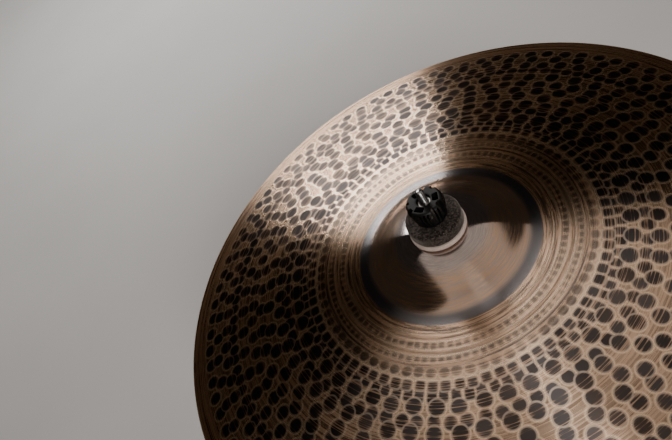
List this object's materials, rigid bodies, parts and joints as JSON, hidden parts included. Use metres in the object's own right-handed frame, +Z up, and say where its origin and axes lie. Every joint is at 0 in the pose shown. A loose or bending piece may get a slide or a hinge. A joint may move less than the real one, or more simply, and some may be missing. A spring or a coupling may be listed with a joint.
{
  "type": "crash cymbal",
  "caption": "Hammered bronze crash cymbal with a raised bell, held between felts under a plastic nut on the threaded rod of a friction tilter that ends in a short round post.",
  "frame": {"origin": "centre of the post's lower end face", "axes": "+Z up the post and along the cymbal's axis at rest, +X along the tilter's hinge, on the side of the wing nut"},
  "size_m": [0.4572, 0.4572, 0.245],
  "materials": {
    "cymbal_bronze": "satin",
    "light_felt": "matte",
    "dark_felt": "matte",
    "nut_plastic": "satin",
    "insert_metal": "satin",
    "sleeve_nylon": "satin",
    "plated_steel": "satin",
    "chrome": "polished",
    "chromed_casting": "gloss",
    "friction_fibre": "matte"
  },
  "bodies": {
    "base": {"post": "chrome", "post_pin": "plated_steel", "tilter_base": "chromed_casting", "tilter_bolt": "chrome", "brake_disc": "friction_fibre", "release_spring": "plated_steel"},
    "head": {"tilter_head": "chromed_casting", "cymbal_rod": "chrome", "rod_pin": "plated_steel", "rod_jam_nut": "plated_steel", "seat_cup": "plated_steel"},
    "sleeve": {"sleeve": "sleeve_nylon", "lower_felt": "dark_felt", "upper_felt": "dark_felt"},
    "rocker": {"light_washer": "light_felt"},
    "cymbal": {"cymbal": "cymbal_bronze"},
    "nut_carrier": {"nut_insert": "insert_metal"},
    "nut": {"nut_body": "nut_plastic"},
    "wing_carrier": {"tilter_washer": "plated_steel", "lock_washer": "plated_steel"},
    "wing_nut": {"tilter_wing_nut": "chromed_casting"}
  },
  "joints": [
    {"name": "tilt", "type": "hinge", "parent": "base", "child": "head", "pos_m": [0, 0, 0.15], "axis": [1, 0, 0], "range_deg": [-70, 70]},
    {"name": "stack_turn", "type": "hinge", "parent": "head", "child": "sleeve", "pos_m": [0, 0, 0.2], "axis": [0, 0, 1], "continuous": true},
    {"name": "cymbal_rock", "type": "hinge", "parent": "sleeve", "child": "rocker", "pos_m": [0, 0, 0.2034], "axis": [1, 0, 0], "range_deg": [-12, 12], "deforming": ["upper_felt", "lower_felt"]},
    {"name": "cymbal_spin", "type": "hinge", "parent": "rocker", "child": "cymbal", "pos_m": [0, 0, 0.2034], "axis": [0, 0, 1], "continuous": true},
    {"name": "nut_lift", "type": "slide", "parent": "head", "child": "nut_carrier", "axis": [0, 0, 1], "range_m": [0, 0.02]},
    {"name": "nut_turn", "type": "hinge", "parent": "nut_carrier", "child": "nut", "pos_m": [0, 0, 0.23], "axis": [0, 0, 1], "range_deg": [0, 7200]},
    {"name": "wing_back_off", "type": "slide", "parent": "base", "child": "wing_carrier", "axis": [1, 0, 0], "range_m": [0, 0.003]},
    {"name": "wing_turn", "type": "hinge", "parent": "wing_carrier", "child": "wing_nut", "pos_m": [0.018, 0, 0.15], "axis": [1, 0, 0], "range_deg": [0, 1080]}
  ],
  "couplings": [
    {"joint": "nut_lift", "follows": "nut_turn", "m_per_rad": 0.00015915},
    {"joint": "wing_back_off", "follows": "wing_turn", "m_per_rad": 0.00015915}
  ]
}
